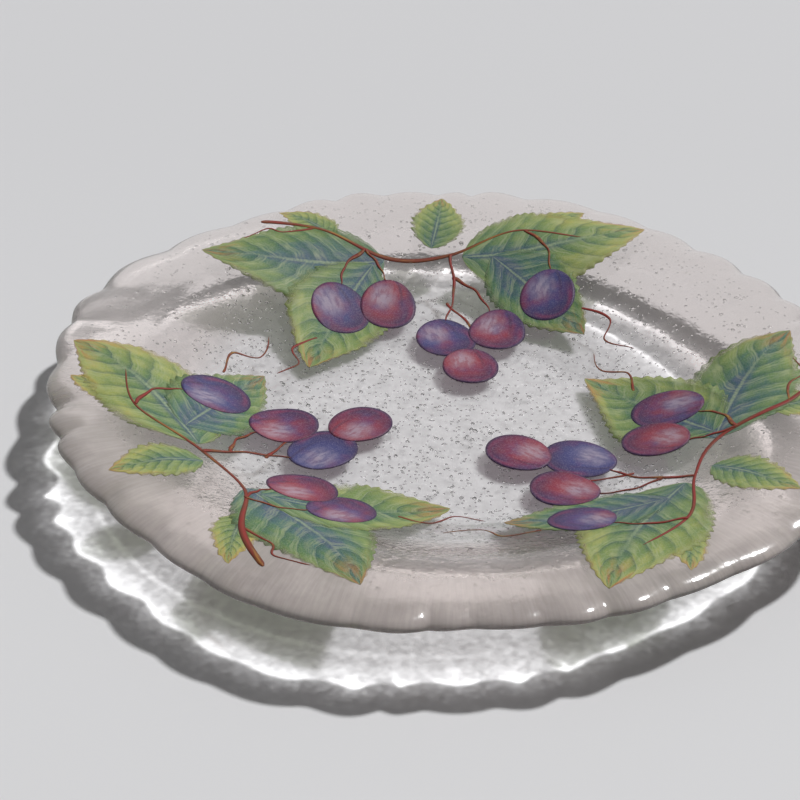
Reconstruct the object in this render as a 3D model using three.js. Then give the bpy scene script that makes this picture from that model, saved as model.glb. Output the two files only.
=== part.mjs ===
// A round plate of clear glass: a flat well, a gently rising wall, a nearly flat rim that thins to a rounded
// edge, and uneven scallops in that edge. It is one piece of glass. Millimetres, +Z up, origin at the middle of
// the flat underside, which the plate rests on.
import * as THREE from "three";

// Driving dimensions
const rimRadius = 120; // from the axis to the middle of the edge's wave
const plateHeight = 23; // from the underside to the top of the rim, before its wave
const wellRadius = 50; // the flat inside, where the wall starts to rise
const wellThickness = 8;
const edgeThickness = 8; // where the rounded edge begins
const edgeReach = 16; // the rounded edge thins over this length, like the side of a lens
const rimWidth = 6.5; // the nearly flat rim, from the top of the wall to the rounded edge
const rimSlope = THREE.MathUtils.degToRad(4); // the rim still climbs a little towards its edge
const footRun = 0.3; // share of the wall's run that leaves the well level
const topRun = 0.22; // share of the wall's run that meets the rim in line with it

// The edge's wave
const scallopCount = 36;
const scallopDepth = 2; // mean depth of a scallop, from crest to notch
const scallopLift = 0.9; // how far a crest stands above a notch
const notchSoftness = 0.03; // 0 would cut each notch to a sharp V
const crestPower = 0.45; // below 1, the crests are broad and the notches narrow
const waveStart = 104; // radius at which the wave starts to show in the rim

// Slow waves round the plate, each as its number of repeats in a turn, its size and its phase. The numbers of
// repeats are even, so opposite points of the edge match and the plate is centred.
const crestShift = [[2, 0.07, 0.7], [4, 0.05, 2.1], [10, 0.018, 0], [14, 0.01, 1]]; // radians along the edge
const scallopGrowth = [[2, 0.25, 1.6], [4, 0.25, 1.3], [10, 0.35, 0.4]]; // share of a scallop's depth
const outline = [[4, 1.6, 2.97], [8, 1.1, -1.57]]; // millimetres outward
const edgeRise = [[4, 0.5, 0.3]]; // millimetres upward

// Facets
const facetsPerScallop = 6;
const wallFacets = 6;
const rimFacets = 1;
const edgeFacets = 8; // round the edge

// The middle of the glass from the end of the well to the centre of the rounded edge: an S up the wall,
// then the straight rim.
function middleLine() {
  const foot = new THREE.Vector2(wellRadius, wellThickness / 2);
  const tip = new THREE.Vector2(rimRadius - edgeReach, plateHeight - edgeThickness / 2);
  const top = new THREE.Vector2(tip.x - rimWidth, tip.y - rimWidth * Math.tan(rimSlope));
  const run = top.x - foot.x;
  const leaveWell = new THREE.Vector2(foot.x + footRun * run, foot.y);
  const reachRim = new THREE.Vector2(top.x - topRun * run, top.y - topRun * run * Math.tan(rimSlope));
  const wall = new THREE.CubicBezierCurve(foot, leaveWell, reachRim, top);
  const rim = new THREE.LineCurve(top, tip);
  const stations = [];
  for (let i = 0; i <= wallFacets; i++) {
    stations.push({ at: wall.getPoint(i / wallFacets), along: wall.getTangent(i / wallFacets) });
  }
  for (let i = 1; i <= rimFacets; i++) {
    stations.push({ at: rim.getPoint(i / rimFacets), along: rim.getTangent(i / rimFacets) });
  }
  return stations;
}

// Half the section of the plate, from the axis under the well, round the edge, to the axis on top.
function plateProfile() {
  const stations = middleLine();
  const under = [];
  const over = [];
  for (const { at, along } of stations) {
    const share = (at.x - wellRadius) / (rimRadius - wellRadius);
    const half = THREE.MathUtils.lerp(wellThickness, edgeThickness, share) / 2;
    const across = new THREE.Vector2(-along.y, along.x).multiplyScalar(half);
    under.push(at.clone().sub(across));
    over.unshift(at.clone().add(across));
  }
  const edge = [];
  const tip = stations.at(-1);
  const across = new THREE.Vector2(-tip.along.y, tip.along.x);
  for (let i = 1; i < edgeFacets; i++) {
    const turn = (Math.PI * i) / edgeFacets - Math.PI / 2;
    const point = tip.at.clone().addScaledVector(tip.along, edgeReach * Math.cos(turn));
    edge.push(point.addScaledVector(across, (edgeThickness / 2) * Math.sin(turn)));
  }
  const axisBelow = new THREE.Vector2(0, 0);
  const axisAbove = new THREE.Vector2(0, wellThickness);
  return [axisBelow, ...under, ...edge, ...over, axisAbove];
}

function sumWaves(waves, turn) {
  return waves.reduce((sum, [repeats, size, phase]) => sum + size * Math.sin(repeats * turn + phase), 0);
}

// From about -0.6 in the notch between two scallops to 1 on a scallop's round crest.
function scallopShape(turn) {
  const halfWave = Math.cos((scallopCount * turn) / 2);
  return 2 * Math.pow(halfWave * halfWave + notchSoftness, crestPower) - 1;
}

// Moves a point of the turned plate to its place on the waved one.
function waveRim(point) {
  const radius = Math.hypot(point.x, point.y);
  const turn = Math.atan2(point.y, point.x);
  const share = THREE.MathUtils.smoothstep(radius, waveStart, rimRadius);
  const scallop = scallopShape(turn) * (1 + sumWaves(scallopGrowth, turn));
  const outward = (scallopDepth / 2) * scallop + sumWaves(outline, turn);
  const upward = (scallopLift / 2) * scallop + sumWaves(edgeRise, turn);
  const waved = radius + share * outward;
  const angle = turn + sumWaves(crestShift, turn);
  point.set(waved * Math.cos(angle), waved * Math.sin(angle), point.z + share * upward);
}

function plateGeometry() {
  const geometry = new THREE.LatheGeometry(plateProfile(), scallopCount * facetsPerScallop);
  geometry.rotateX(Math.PI / 2); // the lathe turns about +Y
  const positions = geometry.getAttribute("position");
  const point = new THREE.Vector3();
  for (let i = 0; i < positions.count; i++) {
    point.fromBufferAttribute(positions, i);
    waveRim(point);
    positions.setXYZ(i, point.x, point.y, point.z);
  }
  geometry.computeVertexNormals();
  return geometry;
}

const clearGlass = new THREE.MeshStandardMaterial({
  name: "clear_glass",
  color: 0xe6e9e8,
  roughness: 0.05,
  metalness: 0,
  transparent: true,
  opacity: 0.35,
});

const plate = new THREE.Mesh(plateGeometry(), clearGlass);
plate.name = "plate";

const group = new THREE.Group();
group.name = "painted_glass_plate";
group.add(plate);

export default group;
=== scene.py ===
import math
import random

import bmesh
import bpy
import numpy as np
from mathutils import Matrix, Vector
from mathutils.bvhtree import BVHTree


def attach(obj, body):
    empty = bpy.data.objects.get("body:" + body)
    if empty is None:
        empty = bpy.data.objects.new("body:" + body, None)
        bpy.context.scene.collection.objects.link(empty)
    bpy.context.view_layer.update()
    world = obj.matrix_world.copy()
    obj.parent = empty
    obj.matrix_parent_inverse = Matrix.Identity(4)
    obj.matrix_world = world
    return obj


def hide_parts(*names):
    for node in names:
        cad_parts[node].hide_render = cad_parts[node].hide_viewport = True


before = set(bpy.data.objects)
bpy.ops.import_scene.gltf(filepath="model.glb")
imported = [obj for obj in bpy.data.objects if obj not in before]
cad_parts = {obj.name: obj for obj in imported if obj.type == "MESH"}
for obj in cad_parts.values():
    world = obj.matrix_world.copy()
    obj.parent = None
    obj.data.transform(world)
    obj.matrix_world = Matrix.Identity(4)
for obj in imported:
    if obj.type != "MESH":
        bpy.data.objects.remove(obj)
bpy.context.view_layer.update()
mm = 0.001
print("frame loaded")


# Camera, at the photograph's viewing angle

cameraView = {
    "elevation": math.radians(32.7),
    "roll": math.radians(1.7),
    "target": (-0.0156, 0.0192, 0.0),
    "distance": 0.6876,
    "lens": 99,              # millimetres, as the sensor's width
    "sensor": 36,
}


def addCamera(c):
    ahead = Vector((0, math.cos(c["elevation"]), -math.sin(c["elevation"])))
    right = Vector((1, 0, 0))
    up = right.cross(ahead)
    rolledRight = math.cos(c["roll"]) * right + math.sin(c["roll"]) * up
    rolledUp = -math.sin(c["roll"]) * right + math.cos(c["roll"]) * up
    turned = Matrix((rolledRight, rolledUp, -ahead)).transposed().to_4x4()
    data = bpy.data.cameras.new("camera")
    data.sensor_width = c["sensor"]
    data.lens = c["lens"]
    camera = bpy.data.objects.new("camera", data)
    camera.matrix_world = Matrix.Translation(Vector(c["target"]) - ahead * c["distance"]) @ turned
    bpy.context.scene.collection.objects.link(camera)
    bpy.context.scene.camera = camera


addCamera(cameraView)
print("camera placed")


# Helpers for meshes

def addMesh(name, bm, smooth=True):
    mesh = bpy.data.meshes.new(name)
    bm.to_mesh(mesh)
    bm.free()
    if smooth:
        mesh.shade_smooth()
    piece = bpy.data.objects.new(name, mesh)
    bpy.context.scene.collection.objects.link(piece)
    return piece


def smoothStep(low, high, value):
    share = min(max((value - low) / (high - low), 0), 1)
    return share * share * (3 - 2 * share)


# Helpers for node materials

def newMaterial(name):
    material = bpy.data.materials.new(name)
    material.use_nodes = True
    return material, material.node_tree, material.node_tree.nodes["Principled BSDF"]


def plug(tree, socket, value):
    if isinstance(value, bpy.types.NodeSocket):
        tree.links.new(value, socket)
    else:
        socket.default_value = value


def calc(tree, operation, a, b=0.0, c=0.0):
    node = tree.nodes.new("ShaderNodeMath")
    node.operation = operation
    for socket, value in zip(node.inputs, (a, b, c)):
        plug(tree, socket, value)
    return node.outputs[0]


def vectorCalc(tree, operation, a, b=(0, 0, 0)):
    node = tree.nodes.new("ShaderNodeVectorMath")
    node.operation = operation
    plug(tree, node.inputs[0], a)
    if operation == "SCALE":
        plug(tree, node.inputs["Scale"], b)
    else:
        plug(tree, node.inputs[1], b)
    return node.outputs["Value" if operation in ("LENGTH", "DISTANCE", "DOT_PRODUCT") else "Vector"]


def soften(tree, value, low, high, toLow=0.0, toHigh=1.0):
    node = tree.nodes.new("ShaderNodeMapRange")
    node.interpolation_type = "SMOOTHSTEP"
    names = ("Value", "From Min", "From Max", "To Min", "To Max")
    for name, part in zip(names, (value, low, high, toLow, toHigh)):
        plug(tree, node.inputs[name], part)
    return node.outputs["Result"]


def blendColour(tree, share, a, b, kind="MIX"):
    node = tree.nodes.new("ShaderNodeMix")
    node.data_type = "RGBA"
    node.blend_type = kind
    for name, value in (("Factor_Float", share), ("A_Color", a), ("B_Color", b)):
        socket = next(s for s in node.inputs if s.identifier == name)
        plug(tree, socket, value if isinstance(value, (bpy.types.NodeSocket, float, int)) else (*value, 1))
    return next(s for s in node.outputs if s.identifier == "Result_Color")


def glaze(tree, colour, share, strength, over):
    # Lays another colour over part of the first.
    return blendColour(tree, calc(tree, "MULTIPLY", share, strength), colour, over)


def ramp(tree, value, stops):
    node = tree.nodes.new("ShaderNodeValToRGB")
    elements = node.color_ramp.elements
    while len(elements) < len(stops):
        elements.new(0.5)
    for element, (place, colour) in zip(elements, stops):
        element.position = place
        element.color = (*colour, 1)
    plug(tree, node.inputs["Fac"], value)
    return node.outputs["Color"]


def cloud(tree, vector, scale, detail=3.0, roughness=0.55):
    node = tree.nodes.new("ShaderNodeTexNoise")
    plug(tree, node.inputs["Vector"], vector)
    plug(tree, node.inputs["Scale"], scale)
    plug(tree, node.inputs["Detail"], detail)
    plug(tree, node.inputs["Roughness"], roughness)
    return node.outputs["Fac"]


def combine(tree, x, y, z=0.0):
    node = tree.nodes.new("ShaderNodeCombineXYZ")
    for socket, value in zip(node.inputs, (x, y, z)):
        plug(tree, socket, value)
    return node.outputs[0]


def attribute(tree, name):
    node = tree.nodes.new("ShaderNodeAttribute")
    node.attribute_name = name
    return node.outputs["Fac"]


def uvPlace(tree):
    source = tree.nodes.new("ShaderNodeUVMap")
    split = tree.nodes.new("ShaderNodeSeparateXYZ")
    tree.links.new(source.outputs["UV"], split.inputs[0])
    return split.outputs[0], split.outputs[1]


def objectPlace(tree):
    return tree.nodes.new("ShaderNodeTexCoord").outputs["Object"]


# The plate's glass. Its section and its waved edge follow the solid's own rules, at a finer pitch.

plateShape = {
    "rimRadius": 119.95,     # millimetres, as every length here; a hair inside the solid's box
    "height": 22.93,
    "wellRadius": 50.0,
    "wellThickness": 8.0,
    "edgeThickness": 8.0,    # where the rounded edge begins
    "edgeReach": 16.0,       # the rounded edge thins over this length, like a lens
    "rimWidth": 6.5,
    "rimSlope": math.radians(4),
    "footRun": 0.3,
    "topRun": 0.22,
    "scallopCount": 36,
    "scallopDepth": 2.0,
    "scallopLift": 0.9,
    "notchSoftness": 0.03,
    "crestPower": 0.45,
    "waveStart": 104.0,
    # slow waves round the plate: repeats in a turn, size, phase
    "crestShift": [(2, 0.07, 0.7), (4, 0.05, 2.1), (10, 0.018, 0), (14, 0.01, 1)],
    "scallopGrowth": [(2, 0.25, 1.6), (4, 0.25, 1.3), (10, 0.35, 0.4)],
    "outline": [(4, 1.6, 2.97), (8, 1.1, -1.57)],
    "edgeRise": [(4, 0.5, 0.3)],
    "stepsPerScallop": 16,
    "wellRings": 20,
    "wallRings": 28,
    "rimRings": 6,
    "edgeRings": 28,
    "weld": 0.002,           # the scallops' ends are joined within this distance
}


def cubicPoint(p, t):
    return (1 - t) ** 3 * p[0] + 3 * t * (1 - t) ** 2 * p[1] + 3 * t * t * (1 - t) * p[2] + t ** 3 * p[3]


def cubicTangent(p, t):
    tangent = (1 - t) ** 2 * (p[1] - p[0]) + 2 * t * (1 - t) * (p[2] - p[1]) + t * t * (p[3] - p[2])
    return tangent.normalized()


def middleLine(s):
    foot = Vector((s["wellRadius"], s["wellThickness"] / 2))
    tip = Vector((s["rimRadius"] - s["edgeReach"], s["height"] - s["edgeThickness"] / 2))
    slope = math.tan(s["rimSlope"])
    top = tip - Vector((s["rimWidth"], s["rimWidth"] * slope))
    run = top.x - foot.x
    reach = s["topRun"] * run
    wall = [foot, foot + Vector((s["footRun"] * run, 0)), top - Vector((reach, reach * slope)), top]
    stations = []
    for i in range(s["wallRings"] + 1):
        t = i / s["wallRings"]
        stations.append((cubicPoint(wall, t), cubicTangent(wall, t)))
    for i in range(1, s["rimRings"] + 1):
        stations.append((top.lerp(tip, i / s["rimRings"]), (tip - top).normalized()))
    return stations


def plateProfile(s):
    stations = middleLine(s)
    under, over = [], []
    for at, along in stations:
        share = (at.x - s["wellRadius"]) / (s["rimRadius"] - s["wellRadius"])
        half = (s["wellThickness"] + (s["edgeThickness"] - s["wellThickness"]) * share) / 2
        across = Vector((-along.y, along.x)) * half
        under.append(at - across)
        over.append(at + across)
    tip, along = stations[-1]
    across = Vector((-along.y, along.x))
    edge = []
    for i in range(1, s["edgeRings"]):
        turn = math.pi * i / s["edgeRings"] - math.pi / 2
        outward = along * s["edgeReach"] * math.cos(turn)
        edge.append(tip + outward + across * s["edgeThickness"] / 2 * math.sin(turn))
    rings = s["wellRings"]
    wellUnder = [Vector((s["wellRadius"] * i / rings, 0)) for i in range(rings)]
    wellOver = [Vector((s["wellRadius"] * i / rings, s["wellThickness"])) for i in range(rings)]
    return wellUnder + under + edge + over[::-1] + wellOver[::-1]


def sumWaves(waves, turn):
    return sum(size * math.sin(repeats * turn + phase) for repeats, size, phase in waves)


def waveRim(co, s):
    radius = math.hypot(co.x, co.y)
    turn = math.atan2(co.y, co.x)
    share = smoothStep(s["waveStart"], s["rimRadius"], radius)
    halfWave = math.cos(s["scallopCount"] * turn / 2)
    scallop = 2 * (halfWave * halfWave + s["notchSoftness"]) ** s["crestPower"] - 1
    scallop *= 1 + sumWaves(s["scallopGrowth"], turn)
    outward = s["scallopDepth"] / 2 * scallop + sumWaves(s["outline"], turn)
    upward = s["scallopLift"] / 2 * scallop + sumWaves(s["edgeRise"], turn)
    angle = turn + sumWaves(s["crestShift"], turn)
    waved = radius + share * outward
    co.x = waved * math.cos(angle)
    co.y = waved * math.sin(angle)
    co.z += share * upward


def buildGlass(s):
    sector = bmesh.new()
    line = [sector.verts.new((p.x, 0, p.y)) for p in plateProfile(s)]
    edges = [sector.edges.new(pair) for pair in zip(line, line[1:])]
    bmesh.ops.spin(
        sector, geom=line + edges, cent=(0, 0, 0), axis=(0, 0, 1), dvec=(0, 0, 0),
        angle=math.tau / s["scallopCount"], steps=s["stepsPerScallop"], use_merge=False,
    )
    one = bpy.data.meshes.new("one_scallop")
    sector.to_mesh(one)
    sector.free()
    bm = bmesh.new()
    for i in range(s["scallopCount"]):
        bm.from_mesh(one)
        one.transform(Matrix.Rotation(math.tau / s["scallopCount"], 4, "Z"))
    bpy.data.meshes.remove(one)
    bmesh.ops.remove_doubles(bm, verts=bm.verts, dist=s["weld"])
    for v in bm.verts:
        waveRim(v.co, s)
    bmesh.ops.recalc_face_normals(bm, faces=bm.faces)
    bmesh.ops.scale(bm, verts=bm.verts, vec=(mm, mm, mm))
    tree = BVHTree.FromBMesh(bm)
    return addMesh("plate_glass", bm), tree


glassLook = {
    "index": 1.5,
    "clear": (0.978, 0.956, 0.954),
    "rimTint": (0.925, 0.825, 0.79),  # a faint pink tint of the wall and rim; its extra strength at the front is painted reflection
    "tintFrom": 0.070,                # metres from the axis
    "tintTo": 0.084,
    "hazeFrom": 0.088,
    "hazeTo": 0.110,
    "wallHaze": 0.08,
    "rimHaze": 0.40,
    "paintedReflectionFrontEnds": -0.085,              # metres along Y, over which the painted reflection at the front fades towards the rear
    "paintedReflectionRearStarts": 0.06,
    "rearHazeWithoutPaintedReflection": 0.34,                 # shares of the haze and of the tint that the rear keeps, without the painted reflection
    "rearTintWithoutPaintedReflection": 0.55,
    "roughness": 0.01,
    "wallRoughness": 0.4 * 0.14,
    "rimRoughness": 0.14,
    "streaksPerTurn": 700,
    "streakLength": 0.009,
    "streakHeight": 0.00003,
    "streakHaze": (0.93, 1.07),       # the least and the most haze of a streak, and of a patch
    "patchHaze": (0.85, 1.15),
    "patchScale": 60.0,
    "swirlScale": 240.0,
    "swirlHeight": 0.00010,
    "pitScale": 750.0,
    "pitHeight": 0.00008,             # the wall is dimpled over the bubbles
    "middle": (0.3, 0.7),             # the part of a noise's range that is used
}


def glassMaterial(g):
    material, tree, shader = newMaterial("clear_glass")
    place = objectPlace(tree)
    flat = vectorCalc(tree, "MULTIPLY", place, (1, 1, 0))
    radius = vectorCalc(tree, "LENGTH", flat)
    wall = soften(tree, radius, g["tintFrom"], g["tintTo"])
    rim = soften(tree, radius, g["hazeFrom"], g["hazeTo"])
    # Streaks run outward over the rim: the noise is fine round the plate and long along the radius.
    around = vectorCalc(tree, "SCALE", vectorCalc(tree, "NORMALIZE", flat), g["streaksPerTurn"] / math.tau)
    outward = combine(tree, 0.0, 0.0, calc(tree, "DIVIDE", radius, g["streakLength"]))
    streaks = cloud(tree, vectorCalc(tree, "ADD", around, outward), 1.0, 2.0)
    patches = cloud(tree, place, g["patchScale"], 3.0)
    haze = calc(tree, "MULTIPLY", wall, g["wallHaze"])
    haze = calc(tree, "MULTIPLY_ADD", rim, g["rimHaze"] - g["wallHaze"], haze)
    haze = calc(tree, "MULTIPLY", haze, soften(tree, streaks, *g["middle"], *g["streakHaze"]))
    haze = calc(tree, "MULTIPLY", haze, soften(tree, patches, *g["middle"], *g["patchHaze"]))
    # The haze and the pink tint are fuller at the front than at the rear. The extra at the front is painted
    # reflection, standing in for the light that the near rim sends back from inside the glass.
    depth = vectorCalc(tree, "DOT_PRODUCT", place, (0, 1, 0))
    paintedReflectionFalloff = (depth, g["paintedReflectionFrontEnds"], g["paintedReflectionRearStarts"], 1.0)
    haze = calc(tree, "MULTIPLY", haze, soften(tree, *paintedReflectionFalloff, g["rearHazeWithoutPaintedReflection"]))
    tint = calc(tree, "MULTIPLY", wall, soften(tree, *paintedReflectionFalloff, g["rearTintWithoutPaintedReflection"]))
    plug(tree, shader.inputs["Transmission Weight"], calc(tree, "SUBTRACT", 1.0, haze))
    plug(tree, shader.inputs["Base Color"], blendColour(tree, tint, g["clear"], g["rimTint"]))
    dull = calc(tree, "MULTIPLY_ADD", wall, g["wallRoughness"], g["roughness"])
    dull = calc(tree, "MULTIPLY_ADD", rim, g["rimRoughness"] - g["wallRoughness"], dull)
    plug(tree, shader.inputs["Roughness"], dull)
    shader.inputs["IOR"].default_value = g["index"]
    swirl = calc(tree, "MULTIPLY", cloud(tree, place, g["swirlScale"], 2.0), g["swirlHeight"])
    relief = calc(tree, "MULTIPLY_ADD", calc(tree, "MULTIPLY", rim, streaks), g["streakHeight"], swirl)
    pits = calc(tree, "MULTIPLY", calc(tree, "SUBTRACT", wall, rim), cloud(tree, place, g["pitScale"], 2.0))
    relief = calc(tree, "MULTIPLY_ADD", pits, g["pitHeight"], relief)
    bump = tree.nodes.new("ShaderNodeBump")
    bump.inputs["Strength"].default_value = 1.0
    bump.inputs["Distance"].default_value = 1.0
    plug(tree, bump.inputs["Height"], relief)
    plug(tree, shader.inputs["Normal"], bump.outputs["Normal"])
    return material


glass, glassTree = buildGlass(plateShape)
clearGlass = glassMaterial(glassLook)
glass.data.materials.append(clearGlass)
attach(glass, "root")
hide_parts("plate")
print("glass:", len(glass.data.polygons), "faces")


probe = {
    "above": 0.05,           # metres: where a look down at the glass starts
    "below": -0.01,
}


def glassTop(x, y):
    hit = glassTree.ray_cast(Vector((x, y, probe["above"])), Vector((0, 0, -1)))[0]
    return hit.z if hit else None


def glassUnder(x, y):
    hit = glassTree.ray_cast(Vector((x, y, probe["below"])), Vector((0, 0, 1)))[0]
    return hit.z if hit else None


# Seed bubbles in the glass

bubbles = {
    "count": 7000,
    "reach": 115.0,          # millimetres from the axis
    "smallest": 0.24,        # radius in millimetres
    "spread": 0.42,
    "largest": 0.9,
    "cover": 0.5,            # millimetres of glass between a bubble and the surface
    "rimStart": 85.0,        # outside this radius there are fewer
    "rimShare": 0.45,
    "longest": 1.5,          # length and height in widths
    "height": 0.8,
    "seed": 7,
    "colour": (0.97, 0.97, 0.97, 1),
    "alpha": 0.72,
}

bubbleSpots = []


def buildBubbles(b):
    draw = random.Random(b["seed"])
    bm = bmesh.new()
    bmesh.ops.create_icosphere(bm, subdivisions=1, radius=1)
    one = bpy.data.meshes.new("one_bubble")
    bm.to_mesh(one)
    bm.free()
    bm = bmesh.new()
    while len(bm.verts) < b["count"] * len(one.vertices):
        radius = b["reach"] * mm * math.sqrt(draw.random())
        turn = draw.uniform(0, math.tau)
        size = min(b["smallest"] * math.exp(abs(draw.gauss(0, b["spread"]))), b["largest"]) * mm
        x, y = radius * math.cos(turn), radius * math.sin(turn)
        low, high = glassUnder(x, y), glassTop(x, y)
        room = b["cover"] * mm + size
        thinned = radius > b["rimStart"] * mm and draw.random() > b["rimShare"]
        if thinned or high - low < 2 * room:
            continue
        z = draw.uniform(low + room, high - room)
        shape = Matrix.Diagonal((size * draw.uniform(1, b["longest"]), size, size * b["height"], 1))
        place = Matrix.Translation((x, y, z)) @ Matrix.Rotation(draw.uniform(0, math.pi), 4, "Z") @ shape
        one.transform(place)
        bm.from_mesh(one)
        one.transform(place.inverted())
        bubbleSpots.append((x / mm, y / mm, size / mm))
    bpy.data.meshes.remove(one)
    return addMesh("seed_bubbles", bm)


def bubbleMaterial(b, index):
    material, tree, shader = newMaterial("seed_bubble")
    shader.inputs["Base Color"].default_value = b["colour"]
    shader.inputs["Alpha"].default_value = b["alpha"]
    shader.inputs["Roughness"].default_value = 0.0
    shader.inputs["IOR"].default_value = 1 / index
    shader.inputs["Transmission Weight"].default_value = 1
    return material


seeds = buildBubbles(bubbles)
seeds.data.materials.append(bubbleMaterial(bubbles, glassLook["index"]))
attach(seeds, "root")
print("bubbles:", len(seeds.data.polygons), "faces")


# Painted decoration: three plum sprays, each laid round the well a third of a turn from the next

paint = {
    "thickness": 0.06,       # millimetres
    "sunk": 0.03,
    "layer": 0.035,          # each stroke over another stands this much prouder
    # the share of red, green and blue light that each kind lets through to the floor
    "passes": {"leaves": (0.21, 0.23, 0.18), "plums": (0.23, 0.19, 0.21), "twigs": (0.25, 0.21, 0.18)},
}

sprays = [
    {"name": "back", "azimuth": 96, "seed": 11},
    {"name": "left", "azimuth": 214, "seed": 23},
    {"name": "right", "azimuth": 333, "seed": 42},
]

sprayLeaves = [
    # base x, base y, heading, length, width, bend, tint, layer
    (-30, 88, 128, 24, 15, 22, 1.0, 0),
    (36, 86, 44, 24, 15, -20, 0.95, 0),
    (-14, 79, 190, 60, 41, -24, 0.3, 1),
    (12, 80, -8, 63, 42, 26, 0.75, 1),
    (-18, 77, 238, 54, 38, 16, 0.5, 2),
    (2, 84, 74, 28, 20, 12, 0.85, 2),
    (22, 79, -50, 46, 31, -14, 0.15, 2),
]

sprayPlums = [
    # x, y, half length, half width, turn, ripeness, layer
    (-30, 58, 10.8, 9.3, 16, 0.55, 4),
    (-14, 61, 10.4, 9.0, -10, 0.1, 5),
    (3, 44, 11.0, 9.5, 8, 0.85, 4),
    (20, 47, 10.6, 9.1, -14, 0.35, 5),
    (9, 27, 10.2, 8.8, -2, 0.2, 6),
    (38, 60, 10.4, 8.9, -22, 0.75, 5),
]

sprayTwigs = [
    # points (x, y), widest half width, layer
    ([(-54, 97), (-36, 93), (-14, 80), (8, 81), (32, 89), (52, 83)], 0.9, 3),
    ([(-20, 83), (-27, 76), (-29, 68)], 0.6, 7),
    ([(-20, 83), (-16, 77), (-14, 71)], 0.55, 7),
    ([(8, 81), (8, 66), (4, 54)], 0.6, 7),
    ([(8, 72), (15, 66), (19, 57)], 0.55, 7),
    ([(5, 62), (12, 50), (10, 37)], 0.5, 3),
    ([(34, 89), (40, 80), (40, 70)], 0.6, 7),
    ([(-36, 93), (-46, 90), (-52, 92), (-60, 86)], 0.45, 3),
    ([(48, 52), (56, 44), (53, 36), (61, 28)], 0.4, 3),
    ([(-38, 44), (-46, 38), (-45, 30), (-52, 24)], 0.4, 3),
]


def onPlate(spray, x, y):
    turn = math.radians(spray["azimuth"] - 90)
    return Vector((x * math.cos(turn) - y * math.sin(turn), x * math.sin(turn) + y * math.cos(turn), 0))


def curvePoint(points, t):
    # A smooth line through the points, by one cubic for each stretch.
    last = len(points) - 1
    i = min(int(t * last), last - 1)
    f = t * last - i
    p = [Vector(points[max(min(j, last), 0)]) for j in (i - 1, i, i + 1, i + 2)]
    return 0.5 * (
        2 * p[1] + (p[2] - p[0]) * f + (2 * p[0] - 5 * p[1] + 4 * p[2] - p[3]) * f * f
        + (3 * p[1] - p[0] - 3 * p[2] + p[3]) * f ** 3
    )


def newStroke(bm, across, along):
    # A flat grid from (-1, 0) to (1, 1) whose own coordinates are kept as its UV map.
    part = bmesh.new()
    bmesh.ops.create_grid(part, x_segments=across, y_segments=along, size=1)
    bmesh.ops.scale(part, verts=part.verts, vec=(1, 0.5, 1))
    bmesh.ops.translate(part, verts=part.verts, vec=(0, 0.5, 0))
    uv = part.loops.layers.uv.new("UVMap")
    for face in part.faces:
        for loop in face.loops:
            loop[uv].uv = (loop.vert.co.x / 2 + 0.5, loop.vert.co.y)
    return part


def layStroke(bm, part, spray, layer, tint, seed):
    # Moves a flat stroke, drawn in the spray's own millimetres, onto the glass, and gives it its thickness.
    tintLayer = part.verts.layers.float.new("tint")
    seedLayer = part.verts.layers.float.new("seed")
    lift = (paint["thickness"] - paint["sunk"] + paint["layer"] * layer) * mm
    for v in part.verts:
        place = onPlate(spray, v.co.x, v.co.y) * mm
        place.z = glassTop(place.x, place.y) + lift
        v.co = place
        v[tintLayer] = tint
        v[seedLayer] = seed
    made = bmesh.ops.extrude_face_region(part, geom=part.faces[:], use_keep_orig=True)["geom"]
    under = [g for g in made if isinstance(g, bmesh.types.BMVert)]
    depth = paint["thickness"] + paint["layer"] * layer
    bmesh.ops.translate(part, verts=under, vec=(0, 0, -depth * mm))
    bmesh.ops.recalc_face_normals(part, faces=part.faces)
    mesh = bpy.data.meshes.new("stroke")
    part.to_mesh(mesh)
    part.free()
    bm.from_mesh(mesh)
    bpy.data.meshes.remove(mesh)


leafShape = {
    "across": 14,            # faces over the leaf and along it
    "along": 110,
    "headingSway": 4,        # degrees
    "bendSway": 0.2,         # share of the bend
    "toothPitch": 3.1,
    "toothRise": 0.8,        # a tooth rises over this share of its pitch, then drops
    "toothHeight": 1.7,
    "marginPower": 8,        # the teeth fade this fast towards the midrib
    "toothFade": 0.4,        # and so at the foot and the tip
    "swell": 0.05,
    "widestAt": 0.82,        # two powers and a slope give the outline
    "fullness": 0.85,
    "taper": 0.25,
    "tintSway": 0.12,
}

plumShape = {
    "faces": 18,
    "turnSway": 8,           # degrees
    "taper": 0.06,
    "tintSway": 0.1,
}

twigShape = {
    "facesPerStretch": 26,
    "tipWidth": 0.3,         # share of the width at the foot
    "knots": 0.22,           # share of the width
    "knotsAlong": 13,
    "waviness": 0.22,        # millimetres
    "wavesAlong": 17,
    "roundFoot": (-0.02, 0.03),
    "roundTip": (1.02, 0.93),
    "leastWidth": 0.02,
}

seedRange = 40               # how far apart the strokes look into the noises


def leafHalfWidth(v, s):
    return (math.sin(math.pi * min(v, 1) ** s["widestAt"]) ** s["fullness"]) * (1 - s["taper"] * v)


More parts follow.
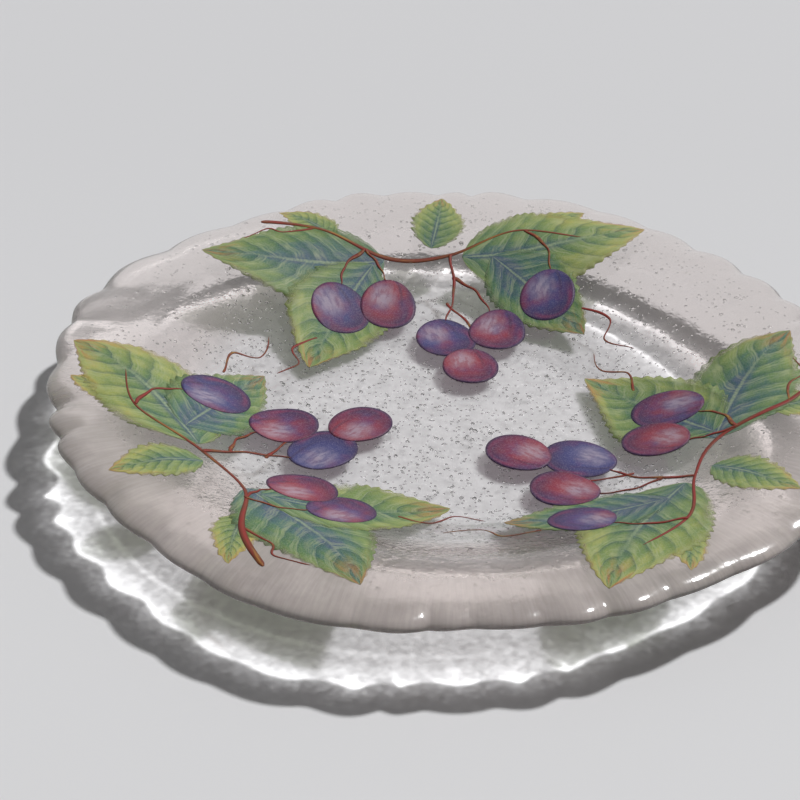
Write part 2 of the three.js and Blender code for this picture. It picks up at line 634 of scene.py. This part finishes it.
def drawLeaf(bm, spray, leaf, draw):
    x0, y0, heading, length, width, bend, tint, layer = leaf
    s = leafShape
    part = newStroke(bm, s["across"], s["along"])
    teeth = round(length / s["toothPitch"])
    heading = math.radians(heading + draw.uniform(-s["headingSway"], s["headingSway"]))
    bend = math.radians(bend * draw.uniform(1 - s["bendSway"], 1 + s["bendSway"]))
    phase = draw.random()
    for v in part.verts:
        side, along = v.co.x, v.co.y
        turned = heading + bend * along
        middle = heading + bend * along / 2
        axis = Vector((math.cos(middle), math.sin(middle))) * length * along
        across = Vector((-math.sin(turned), math.cos(turned)))
        saw = (along * teeth + 0.5 * (side > 0) + phase) % 1
        drop = s["toothRise"] / (1 - s["toothRise"])
        tooth = (saw if saw < s["toothRise"] else (1 - saw) * drop) - s["toothRise"] / 2
        tooth *= s["toothHeight"] * math.sin(math.pi * along) ** s["toothFade"]
        swell = 1 + s["swell"] * math.sin(9 * along + 6 * phase + 2 * side)
        reach = width / 2 * leafHalfWidth(along, s) * side * swell
        reach += math.copysign(abs(side) ** s["marginPower"], side) * tooth
        place = Vector((x0, y0)) + axis + across * reach
        v.co = (place.x, place.y, 0)
    bmesh.ops.remove_doubles(part, verts=part.verts, dist=0.01)
    tint += draw.uniform(-s["tintSway"], s["tintSway"])
    layStroke(bm, part, spray, layer, tint, draw.uniform(0, seedRange))


def onDisc(co):
    # The place on a round disc of a point of the stroke's square.
    x, y = co.x, 2 * co.y - 1
    return Vector((x * math.sqrt(1 - y * y / 2), y * math.sqrt(1 - x * x / 2)))


def drawPlum(bm, spray, plum, draw):
    x0, y0, halfLength, halfWidth, turn, ripeness, layer = plum
    s = plumShape
    part = newStroke(bm, s["faces"], s["faces"])
    turn = math.radians(turn + draw.uniform(-s["turnSway"], s["turnSway"]))
    uv = part.loops.layers.uv.active
    for face in part.faces:
        for loop in face.loops:
            loop[uv].uv = onDisc(loop.vert.co) / 2 + Vector((0.5, 0.5))
    for v in part.verts:
        disc = onDisc(v.co)
        disc.x *= halfWidth * (1 - s["taper"] * disc.y)
        disc.y *= halfLength
        place = Vector((x0, y0)) + disc @ Matrix.Rotation(-turn, 2)
        v.co = (place.x, place.y, 0)
    ripeness += draw.uniform(-s["tintSway"], s["tintSway"])
    layStroke(bm, part, spray, layer, ripeness, draw.uniform(0, seedRange))


def drawTwig(bm, spray, twig, draw):
    points, half, layer = twig
    s = twigShape
    part = newStroke(bm, 2, s["facesPerStretch"] * (len(points) - 1))
    phase = draw.uniform(0, 10)
    step = 0.01
    for v in part.verts:
        side, along = v.co.x, v.co.y
        at = curvePoint(points, along)
        ahead = curvePoint(points, min(along + step, 1)) - curvePoint(points, max(along - step, 0))
        ahead.normalize()
        wide = half * (s["tipWidth"] + (1 - s["tipWidth"]) * (1 - along))
        wide *= 1 + s["knots"] * math.sin(s["knotsAlong"] * along + phase)
        wide *= smoothStep(*s["roundFoot"], along) * smoothStep(*s["roundTip"], along) + s["leastWidth"]
        aside = side * wide + s["waviness"] * math.sin(s["wavesAlong"] * along + phase)
        at += Vector((-ahead.y, ahead.x)) * aside
        v.co = (at.x, at.y, 0)
    layStroke(bm, part, spray, layer, draw.random(), draw.uniform(0, seedRange))


# Enamel materials. In each look a noise is its scale, its detail and, where it has a third value, its
# roughness. A glaze is its strength and its colour. A wash or a tint in a run or a hue is a factor and an
# offset, and a width or an end of two values is where a soft step starts and stops.

enamelLook = {
    "roughness": 0.5,
    "specular": 0.22,
    "grain": (2600.0, 2.0),
}


def finishEnamel(colour, tree, shader, body):
    shader.inputs["Roughness"].default_value = enamelLook["roughness"]
    shader.inputs["Specular IOR Level"].default_value = enamelLook["specular"]
    plug(tree, shader.inputs["Base Color"], colour)
    plug(tree, shader.inputs["Alpha"], body)


leafLook = {
    "drift": (3.0, 2.0),
    "wash": (5.5, 4.0, 0.6),
    "strokes": (2.4, 3.0),
    "spotWidth": 0.6,
    "veins": 8.0,                    # on each side of the midrib
    "veinStagger": 0.45,
    "veinCurve": 1.25,
    "veinLean": 1.9,
    "veinDrift": 0.9,
    "veinWidth": 0.09,
    "veinEnd": (0.75, 0.98),         # 0 is the midrib and 1 the margin
    "strokesAcross": 4.5,
    "strokesOutward": 1.6,
    "midribWidth": (0.01, 0.05),
    "runOutward": 0.46,              # how far the pigment changes outward and along
    "runAlong": 0.42,
    "runWash": (0.9, -0.52),
    "runTint": (0.5, -0.2),
    "colours": [
        (0.0, (0.04, 0.08, 0.15)), (0.16, (0.035, 0.125, 0.115)), (0.34, (0.08, 0.18, 0.06)),
        (0.55, (0.18, 0.27, 0.065)), (0.78, (0.38, 0.41, 0.10)), (1.0, (0.58, 0.41, 0.08)),
    ],
    "pale": (0.55, (0.60, 0.64, 0.38)),
    "deep": (0.75, (0.02, 0.09, 0.06)),
    "paleCell": 0.75,
    "deepCell": 0.8,
    "vein": (0.22, (0.02, 0.07, 0.12)),
    "shade": (0.75, (0.02, 0.06, 0.14)),
    "midrib": (0.45, 0.56, 0.30),
    "rust": (0.7, (0.45, 0.10, 0.035)),
    "outline": (0.3, (0.14, 0.17, 0.03)),
    "grain": (0.8, 0.82, 0.7),
}


def leafEnamel(g):
    material, tree, shader = newMaterial("leaf_enamel")
    u, along = uvPlace(tree)
    seed = attribute(tree, "seed")
    tint = attribute(tree, "tint")
    signed = calc(tree, "MULTIPLY_ADD", u, 2.0, -1.0)
    side = calc(tree, "ABSOLUTE", signed)
    onLeft = calc(tree, "GREATER_THAN", signed, 0.0)
    spot = combine(tree, calc(tree, "MULTIPLY", signed, g["spotWidth"]), along, seed)
    drift = cloud(tree, spot, *g["drift"])
    wash = cloud(tree, spot, *g["wash"])
    # Each vein leaves the midrib and bends towards the tip. A cell runs from one vein to the next.
    lean = calc(tree, "MULTIPLY", calc(tree, "POWER", side, g["veinCurve"]), g["veinLean"])
    cells = calc(tree, "MULTIPLY_ADD", along, g["veins"], calc(tree, "MULTIPLY", onLeft, g["veinStagger"]))
    cells = calc(tree, "SUBTRACT", cells, lean)
    cells = calc(tree, "ADD", cells, calc(tree, "MULTIPLY_ADD", drift, g["veinDrift"], -g["veinDrift"] / 2))
    cell = calc(tree, "FRACT", cells)
    nearVein = calc(tree, "MINIMUM", cell, calc(tree, "SUBTRACT", 1.0, cell))
    vein = soften(tree, nearVein, 0.0, g["veinWidth"], 1.0, 0.0)
    vein = calc(tree, "MULTIPLY", vein, soften(tree, side, *g["veinEnd"], 1.0, 0.0))
    acrossCell = calc(tree, "MULTIPLY", cells, g["strokesAcross"])
    outward = calc(tree, "MULTIPLY", side, g["strokesOutward"])
    strokes = cloud(tree, combine(tree, acrossCell, outward, seed), *g["strokes"])
    midrib = soften(tree, side, *g["midribWidth"], 1.0, 0.0)
    midrib = calc(tree, "MULTIPLY", midrib, soften(tree, strokes, 0.3, 0.6, 0.3, 1.0))
    # Pigment runs from blue at the foot through green to yellow at the margin and the tip.
    run = calc(tree, "MULTIPLY_ADD", side, g["runOutward"], calc(tree, "MULTIPLY", along, g["runAlong"]))
    run = calc(tree, "ADD", run, calc(tree, "MULTIPLY_ADD", wash, *g["runWash"]))
    run = calc(tree, "ADD", run, calc(tree, "MULTIPLY_ADD", tint, *g["runTint"]))
    colour = ramp(tree, run, g["colours"])
    pale = blendColour(tree, g["pale"][0], colour, g["pale"][1])
    deep = blendColour(tree, g["deep"][0], colour, g["deep"][1])
    lightCell = calc(tree, "MULTIPLY", soften(tree, cell, 0.15, 0.75), soften(tree, strokes, 0.35, 0.7))
    colour = glaze(tree, colour, lightCell, g["paleCell"], pale)
    darkCell = soften(tree, side, 0.95, 0.2, 0.15, 0.9)
    darkCell = calc(tree, "MULTIPLY", soften(tree, cell, 0.35, 0.02), darkCell)
    colour = glaze(tree, colour, darkCell, g["deepCell"], deep)
    colour = glaze(tree, colour, vein, *g["vein"])
    shade = calc(tree, "MULTIPLY", soften(tree, side, 0.16, 0.03), soften(tree, along, 0.95, 0.1))
    colour = glaze(tree, colour, shade, *g["shade"])
    colour = glaze(tree, colour, midrib, soften(tree, along, 0.9, 0.3, 0.05, 0.6), g["midrib"])
    rust = calc(tree, "MULTIPLY", soften(tree, along, 0.72, 1.0), soften(tree, wash, 0.42, 0.62))
    colour = glaze(tree, colour, rust, *g["rust"])
    outline = calc(tree, "MULTIPLY", soften(tree, side, 0.93, 0.99), soften(tree, strokes, 0.4, 0.6))
    colour = glaze(tree, colour, outline, *g["outline"])
    grain = cloud(tree, objectPlace(tree), *enamelLook["grain"])
    colour = blendColour(tree, soften(tree, grain, 0.35, 0.7, 0.0, 0.12), colour, g["grain"])
    body = soften(tree, strokes, 0.25, 0.6, 0.97, 0.84)
    # The brush leaves the margin thin in places.
    worn = calc(tree, "MULTIPLY", soften(tree, side, 0.72, 1.0), soften(tree, wash, 0.4, 0.6, 0.15, 0.85))
    body = calc(tree, "MULTIPLY", body, calc(tree, "SUBTRACT", 1.0, worn))
    finishEnamel(colour, tree, shader, body)
    return material


plumLook = {
    "wash": (1.3, 2.0),
    "mottle": (4.0, 4.0, 0.6),
    "strokes": (3.0, 3.0),
    "strokesAcross": 2.2,
    "strokesAlong": 0.9,
    "hueWash": (1.7, -0.85),
    "hueAcross": 0.18,
    "colours": [
        (0.0, (0.28, 0.03, 0.05)), (0.3, (0.20, 0.03, 0.08)),
        (0.6, (0.10, 0.04, 0.145)), (0.9, (0.045, 0.05, 0.18)),
    ],
    # centres, on a disc of radius 1
    "lightAt": (-0.22, 0.3, 0),
    "bounceAt": (0.16, -0.2, 0),
    "bloomAt": (-0.28, 0.3, 0),
    "grooveBow": 0.46,
    "grooveWidth": 0.11,
    "core": (0.8, (0.028, 0.012, 0.06)),
    "bounce": (0.6, (0.30, 0.03, 0.09)),
    "bloom": (0.62, (0.50, 0.43, 0.51)),
    "groove": (0.55, (0.03, 0.012, 0.05)),
    "rim": (0.8, (0.022, 0.008, 0.05)),
    "grain": (0.7, 0.6, 0.68),
}


def plumEnamel(g):
    material, tree, shader = newMaterial("fruit_enamel")
    u, v = uvPlace(tree)
    seed = attribute(tree, "seed")
    tint = attribute(tree, "tint")
    x = calc(tree, "MULTIPLY_ADD", u, 2.0, -1.0)
    y = calc(tree, "MULTIPLY_ADD", v, 2.0, -1.0)
    place = combine(tree, x, y)
    out = vectorCalc(tree, "LENGTH", place)
    spot = combine(tree, x, y, seed)
    wash = cloud(tree, spot, *g["wash"])
    mottle = cloud(tree, spot, *g["mottle"])
    hue = calc(tree, "ADD", calc(tree, "MULTIPLY_ADD", wash, *g["hueWash"]), tint)
    hue = calc(tree, "ADD", hue, calc(tree, "MULTIPLY", x, g["hueAcross"]))
    colour = ramp(tree, hue, g["colours"])
    core = soften(tree, vectorCalc(tree, "DISTANCE", place, g["lightAt"]), 0.55, 1.25)
    colour = glaze(tree, colour, core, *g["core"])
    bounce = soften(tree, vectorCalc(tree, "DISTANCE", place, g["bounceAt"]), 0.52, 0.72)
    bounce = calc(tree, "MULTIPLY", bounce, soften(tree, out, 0.98, 0.8))
    bounce = calc(tree, "MULTIPLY", bounce, soften(tree, calc(tree, "SUBTRACT", x, y), 0.2, 1.0))
    colour = glaze(tree, colour, bounce, *g["bounce"])
    across = calc(tree, "MULTIPLY", x, g["strokesAcross"])
    along = calc(tree, "MULTIPLY", y, g["strokesAlong"])
    strokes = cloud(tree, combine(tree, across, along, seed), *g["strokes"])
    bloom = soften(tree, vectorCalc(tree, "DISTANCE", place, g["bloomAt"]), 0.72, 0.1)
    bloom = calc(tree, "MULTIPLY", bloom, soften(tree, strokes, 0.34, 0.62, 0.35, 1.0))
    colour = glaze(tree, colour, bloom, *g["bloom"])
    bow = calc(tree, "SUBTRACT", 1.0, calc(tree, "MULTIPLY", y, y))
    bow = calc(tree, "SQRT", calc(tree, "MAXIMUM", bow, 0.0))
    groove = calc(tree, "ABSOLUTE", calc(tree, "MULTIPLY_ADD", bow, -g["grooveBow"], x))
    groove = soften(tree, groove, 0.0, g["grooveWidth"], 1.0, 0.0)
    groove = calc(tree, "MULTIPLY", groove, soften(tree, y, -0.5, 0.55, 0.0, 1.0))
    colour = glaze(tree, colour, groove, *g["groove"])
    rim = calc(tree, "MULTIPLY", soften(tree, out, 0.9, 1.0), soften(tree, wash, 0.3, 0.6, 0.4, 1.0))
    colour = glaze(tree, colour, rim, *g["rim"])
    grain = cloud(tree, objectPlace(tree), *enamelLook["grain"])
    colour = blendColour(tree, soften(tree, grain, 0.4, 0.75, 0.0, 0.14), colour, g["grain"])
    body = soften(tree, mottle, 0.3, 0.7, 0.98, 0.9)
    finishEnamel(colour, tree, shader, body)
    return material


twigLook = {
    "wash": (1.4, 2.0),
    "washesAlong": 7.0,
    "hueWash": (2.0, -0.75),
    "hueTint": (0.4, -0.2),
    "colours": [
        (0.0, (0.26, 0.025, 0.02)), (0.35, (0.17, 0.045, 0.02)),
        (0.6, (0.32, 0.14, 0.03)), (1.0, (0.33, 0.29, 0.06)),
    ],
    "edge": (0.5, (0.09, 0.02, 0.01)),
    "body": 0.97,
}


def twigEnamel(g):
    material, tree, shader = newMaterial("twig_enamel")
    u, along = uvPlace(tree)
    seed = attribute(tree, "seed")
    tint = attribute(tree, "tint")
    spot = combine(tree, u, calc(tree, "MULTIPLY", along, g["washesAlong"]), seed)
    hue = calc(tree, "MULTIPLY_ADD", cloud(tree, spot, *g["wash"]), *g["hueWash"])
    hue = calc(tree, "ADD", hue, calc(tree, "MULTIPLY_ADD", tint, *g["hueTint"]))
    colour = ramp(tree, hue, g["colours"])
    edge = calc(tree, "ABSOLUTE", calc(tree, "MULTIPLY_ADD", u, 2.0, -1.0))
    colour = glaze(tree, colour, soften(tree, edge, 0.3, 1.0), *g["edge"])
    finishEnamel(colour, tree, shader, g["body"])
    return material


leafPaint, plumPaint, twigPaint = leafEnamel(leafLook), plumEnamel(plumLook), twigEnamel(twigLook)
paintTrees = []
for spray in sprays:
    for kind, strokes, drawOne, enamel in (
        ("leaves", sprayLeaves, drawLeaf, leafPaint),
        ("plums", sprayPlums, drawPlum, plumPaint),
        ("twigs", sprayTwigs, drawTwig, twigPaint),
    ):
        draw = random.Random(spray["seed"] + len(strokes))
        bm = bmesh.new()
        for stroke in strokes:
            drawOne(bm, spray, stroke, draw)
        paintTrees.append((kind, BVHTree.FromBMesh(bm)))
        piece = addMesh(spray["name"] + "_" + kind, bm)
        piece.data.materials.append(enamel)
        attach(piece, "root")
        print("painted", piece.name, len(piece.data.polygons))


# Key light, and the light that it sends through the glass

keyLight = {
    "direction": (0.575, 0.46, 1.0),
    "spread": math.radians(4.0),
    "strength": 2.68,        # watts per square metre
}

throughGlass = {
    "mapPitch": 0.5,         # millimetres between the heights read off the glass
    "rayPitch": 0.25,
    "floorPitch": 0.5,
    "mapReach": 126.0,
    "scallopReach": 4,
    "raysBeyond": 20,
    "within": 0.99,          # share of glass under a spot that counts as on the plate
    "leastDrop": 0.1,        # a ray that leaves the glass flatter than this is lost
    "floorLow": (-172.0, -166.0),
    "floorHigh": (128.0, 134.0),
    "steps": 14,             # towards the height at which a ray meets a face
    "bubblePasses": 0.5,
    "glassPasses": 1.04,
    "smoothing": 3,          # passes that take the facets out of the height maps
    "ripples": [(1, 0.0004), (3, 0.0014), (6, 0.003)],
    "rippleSeed": 5,
    "scatterFrom": 76.0,     # millimetres from the axis
    "scatterTo": 92.0,
    "rimScatter": 0.22,      # how far the hazy rim turns a ray aside, in slope
    "rimScatters": 0.5,      # and the share of the rays that it turns
    "rimPasses": 0.8,
    # painted speckle in the traced light, for ripples of the glass too fine to trace
    "paintedLightSpeckles": [(1, 0.035), (2, 0.035)],
    "blur": (0.06, 0.24, 0.4, 0.24, 0.06),
}

floorLook = {
    "level": -0.0002,        # metres: a hair under the plate
    # painted light falloff: the floor's colour is darker far off and lighter near the camera
    "far": (0.69, 0.69, 0.705),
    "nearPaintedBrighter": (0.735, 0.735, 0.748),
    "farEdge": 0.25,
    "paintedFalloffNearEnd": -0.15,
    "outer": 4.0,
    "roughness": 0.6,
    "specular": 0.2,
}


def addKey(k):
    # It lights a diffuse surface directly only, because what it sends through the glass is traced below.
    data = bpy.data.lights.new("key", "SUN")
    data.angle = k["spread"]
    data.energy = k["strength"]
    data.use_nodes = True
    tree = data.node_tree
    path = tree.nodes.new("ShaderNodeLightPath")
    direct = calc(tree, "LESS_THAN", path.outputs["Diffuse Depth"], 0.5)
    tree.links.new(direct, tree.nodes["Emission"].inputs["Strength"])
    lamp = bpy.data.objects.new("key", data)
    lamp.location = Vector(k["direction"])
    lamp.rotation_euler = (-lamp.location).to_track_quat("-Z", "Y").to_euler()
    bpy.context.scene.collection.objects.link(lamp)


def readGrid(values, pitch, reach, x, y):
    # Bilinear reading of a square map, at places in millimetres.
    fx = np.clip((x + reach) / pitch, 0, values.shape[0] - 1.001)
    fy = np.clip((y + reach) / pitch, 0, values.shape[1] - 1.001)
    ix, iy = fx.astype(int), fy.astype(int)
    fx, fy = fx - ix, fy - iy
    return (
        values[ix, iy] * (1 - fx) * (1 - fy) + values[ix + 1, iy] * fx * (1 - fy)
        + values[ix, iy + 1] * (1 - fx) * fy + values[ix + 1, iy + 1] * fx * fy
    )


def normals(slopes, pitch, reach, place):
    # Upward unit normals of a face, from its two maps of slopes.
    leans = [-readGrid(slope, pitch, reach, place[0], place[1]) for slope in slopes]
    normal = np.array(leans + [np.ones(place.shape[1])])
    return normal / np.sqrt((normal * normal).sum(0))


def bend(ray, normal, ratio):
    # Refraction of unit rays at unit normals that face them. The last value is the share that passes.
    cosIn = -(ray * normal).sum(0)
    k = 1 - ratio * ratio * (1 - cosIn * cosIn)
    cosOut = np.sqrt(np.maximum(k, 1e-6))
    out = ratio * ray + (ratio * cosIn - cosOut) * normal
    across = ((ratio * cosIn - cosOut) / (ratio * cosIn + cosOut)) ** 2
    along = ((cosIn - ratio * cosOut) / (cosIn + ratio * cosOut)) ** 2
    return out, np.where(k > 0, 1 - (across + along) / 2, 0)


def spread(field, passes):
    for i in range(passes):
        for axis in (0, 1):
            field = (np.roll(field, 1, axis) + 2 * field + np.roll(field, -1, axis)) / 4
    return field


def glassMaps(t):
    # Heights of the glass's upper and under faces on a square grid, in millimetres, where there is glass, and
    # the light that the paint on it lets through.
    count = int(2 * t["mapReach"] / t["mapPitch"]) + 1
    places = np.linspace(-t["mapReach"], t["mapReach"], count)
    top, under, there = (np.zeros((count, count)) for i in range(3))
    painted = np.ones((3, count, count))
    for i, x in enumerate(places):
        for j, y in enumerate(places):
            if math.hypot(x, y) > plateShape["rimRadius"] + t["scallopReach"]:
                continue
            high = glassTop(x * mm, y * mm)
            if high is not None:
                top[i, j], under[i, j], there[i, j] = high / mm, glassUnder(x * mm, y * mm) / mm, 1
                above = Vector((x * mm, y * mm, probe["above"]))
                for kind, tree in paintTrees:
                    if tree.ray_cast(above, Vector((0, 0, -1)))[0]:
                        painted[:, i, j] = np.minimum(painted[:, i, j], paint["passes"][kind])
    known = np.maximum(spread(there, t["smoothing"]), 1e-6)
    top, under = spread(top, t["smoothing"]) / known, spread(under, t["smoothing"]) / known
    return top, under, there, painted


def stampBubbles(t, shade, pitch):
    # Marks each bubble as a dark spot on the map of what the upper face lets in.
    for x, y, size in bubbleSpots:
        low = [int((c - size + t["mapReach"]) / pitch) for c in (x, y)]
        span = int(2 * size / pitch) + 2
        for i in range(low[0], low[0] + span):
            for j in range(low[1], low[1] + span):
                away = math.hypot(i * pitch - t["mapReach"] - x, j * pitch - t["mapReach"] - y)
                if away < size:
                    shade[i, j] = min(shade[i, j], t["bubblePasses"])


def ripples(sizes, seed, shape):
    # Random waves of several widths, in steps of the grid, each with its own height.
    draw = np.random.default_rng(seed)
    total = np.zeros(shape)
    for width, height in sizes:
        field = draw.standard_normal(shape)
        field = spread(field, width * width)
        total += field * height / field.std()
    return total


def traceThroughGlass(t, direction):
    top, under, there, painted = glassMaps(t)
    pitch, reach = t["mapPitch"], t["mapReach"]
    # Fire-polished glass is never quite level.
    under = under + ripples(t["ripples"], t["rippleSeed"], under.shape)
    topSlope = np.gradient(top, pitch)
    underSlope = np.gradient(under, pitch)
    finePitch = t["rayPitch"]
    fineCount = int(2 * reach / finePitch) + 1
    shade = np.ones((fineCount, fineCount))
    stampBubbles(t, shade, finePitch)
    line = np.arange(-reach - t["raysBeyond"], reach + t["raysBeyond"], finePitch)
    x, y = (g.ravel() for g in np.meshgrid(line, line, indexing="ij"))
    start = np.array([x, y, np.full_like(x, plateShape["height"])])
    ray = -np.array(Vector(direction).normalized()).reshape(3, 1) * np.ones(len(x))
    z = start[2].copy()
    for i in range(t["steps"]):
        run = (z - start[2]) / ray[2]
        z = readGrid(top, pitch, reach, start[0] + ray[0] * run, start[1] + ray[1] * run)
    entry = start + ray * (z - start[2]) / ray[2]
    hit = readGrid(there, pitch, reach, entry[0], entry[1]) > t["within"]
    start, ray, entry = start[:, hit], ray[:, hit], entry[:, hit]
    normal = normals(topSlope, pitch, reach, entry)
    inside, passed = bend(ray, normal, 1 / glassLook["index"])
    z = readGrid(under, pitch, reach, entry[0], entry[1])
    for i in range(t["steps"]):
        run = (z - entry[2]) / inside[2]
        z = readGrid(under, pitch, reach, entry[0] + inside[0] * run, entry[1] + inside[1] * run)
    leave = entry + inside * (z - entry[2]) / inside[2]
    passed *= readGrid(there, pitch, reach, leave[0], leave[1]) > t["within"]
    normal = normals(underSlope, pitch, reach, leave)
    out, passedOut = bend(inside, normal, glassLook["index"])
    passed *= passedOut * t["glassPasses"]
    passed *= np.where(out[2] < -t["leastDrop"], 1, 0)
    middle = (entry + leave) / 2
    passed *= readGrid(shade, finePitch, reach, middle[0], middle[1])
    passed = [passed * readGrid(colour, pitch, reach, entry[0], entry[1]) for colour in painted]
    share = (np.hypot(entry[0], entry[1]) - t["scatterFrom"]) / (t["scatterTo"] - t["scatterFrom"])
    share = np.clip(share, 0, 1)
    passed = np.array(passed) * (1 - (1 - t["rimPasses"]) * share) * finePitch ** 2
    draw = np.random.default_rng(t["rippleSeed"])
    turned = draw.random(len(share)) < t["rimScatters"] * share
    aside = draw.standard_normal((2, len(share))) * t["rimScatter"] * turned
    drop = leave[2] - floorLook["level"] / mm
    land = leave[:2] + (aside - out[:2] / out[2]) * drop
    return land[0], land[1], passed


def gatherOnFloor(t, x, y, light):
    pitch = t["floorPitch"]
    size = [int((h - l) / pitch) + 1 for l, h in zip(t["floorLow"], t["floorHigh"])]
    fx, fy = (x - t["floorLow"][0]) / pitch, (y - t["floorLow"][1]) / pitch
    keep = (fx > 1) & (fx < size[0] - 3) & (fy > 1) & (fy < size[1] - 3)
    fx, fy, light = fx[keep], fy[keep], light[:, keep]
    ix, iy = fx.astype(int), fy.astype(int)
    fx, fy = fx - ix, fy - iy
    total = np.zeros((3, size[0] * size[1]))
    for dx, wx in ((0, 1 - fx), (1, fx)):
        for dy, wy in ((0, 1 - fy), (1, fy)):
            cell = (ix + dx) * size[1] + iy + dy
            for colour, part in zip(total, light):
                colour += np.bincount(cell, part * wx * wy, minlength=colour.size)
    total = total.reshape(3, *size) / pitch ** 2
    for axis in (1, 2):
        total = sum(w * np.roll(total, i - 2, axis) for i, w in enumerate(t["blur"]))
    # A painted speckle is laid over the traced light, for the glass's finest ripples.
    return total * (1 + ripples(t["paintedLightSpeckles"], t["rippleSeed"], size))


def floorMaterial(f, k):
    material, tree, shader = newMaterial("pale_floor")
    depth = vectorCalc(tree, "DOT_PRODUCT", objectPlace(tree), (0, 1, 0))
    # Painted light falloff: the floor's colour darkens from near to far.
    albedoWithPaintedFalloff = blendColour(tree, soften(tree, depth, f["paintedFalloffNearEnd"], f["farEdge"]), f["nearPaintedBrighter"], f["far"])
    plug(tree, shader.inputs["Base Color"], albedoWithPaintedFalloff)
    shader.inputs["Roughness"].default_value = f["roughness"]
    shader.inputs["Specular IOR Level"].default_value = f["specular"]
    # The floor glows: its emission paints, inside the plate's shadow, the key light that the glass sends
    # through, as traced above.
    slant = Vector(k["direction"]).normalized().z
    shader.inputs["Emission Strength"].default_value = k["strength"] * slant / math.pi
    light = tree.nodes.new("ShaderNodeAttribute")
    light.attribute_name = "through_glass"
    plug(tree, shader.inputs["Emission Color"], vectorCalc(tree, "MULTIPLY", albedoWithPaintedFalloff, light.outputs["Color"]))
    return material


def layFloor(f, k, t):
    glow = gatherOnFloor(t, *traceThroughGlass(t, k["direction"]))
    columns, rows = glow.shape[1:]
    bm = bmesh.new()
    bmesh.ops.create_grid(bm, x_segments=columns - 1, y_segments=rows - 1, size=0.5)
    lightLayer = bm.verts.layers.float_color.new("through_glass")
    for v in bm.verts:
        i = round((v.co.x + 0.5) * (columns - 1))
        j = round((v.co.y + 0.5) * (rows - 1))
        x = (t["floorLow"][0] + i * t["floorPitch"]) * mm
        y = (t["floorLow"][1] + j * t["floorPitch"]) * mm
        if i in (0, columns - 1):
            x = math.copysign(f["outer"], x)
        if j in (0, rows - 1):
            y = math.copysign(f["outer"], y)
        v.co = (x, y, f["level"])
        v[lightLayer] = (*glow[:, i, j], 1)
    floor = addMesh("floor", bm, smooth=False)
    floor.data.materials.append(floorMaterial(f, k))


addKey(keyLight)
layFloor(floorLook, keyLight, throughGlass)
print("floor laid")

studio = {
    "onSurfaces": 0.183,     # what it adds to matt surfaces
    "seenInGlass": 0.85,     # how bright it looks in reflections and through the glass
}


def addStudio(w):
    world = bpy.data.worlds.new("studio")
    world.use_nodes = True
    tree = world.node_tree
    path = tree.nodes.new("ShaderNodeLightPath")
    matt = calc(tree, "GREATER_THAN", path.outputs["Diffuse Depth"], 0.5)
    strength = calc(tree, "MULTIPLY_ADD", matt, w["onSurfaces"] - w["seenInGlass"], w["seenInGlass"])
    background = tree.nodes["Background"]
    background.inputs["Color"].default_value = (1, 1, 1, 1)
    tree.links.new(strength, background.inputs["Strength"])
    world.cycles.sampling_method = "NONE"
    bpy.context.scene.world = world


addStudio(studio)
bpy.context.scene.view_settings.view_transform = "Standard"
print("lit")
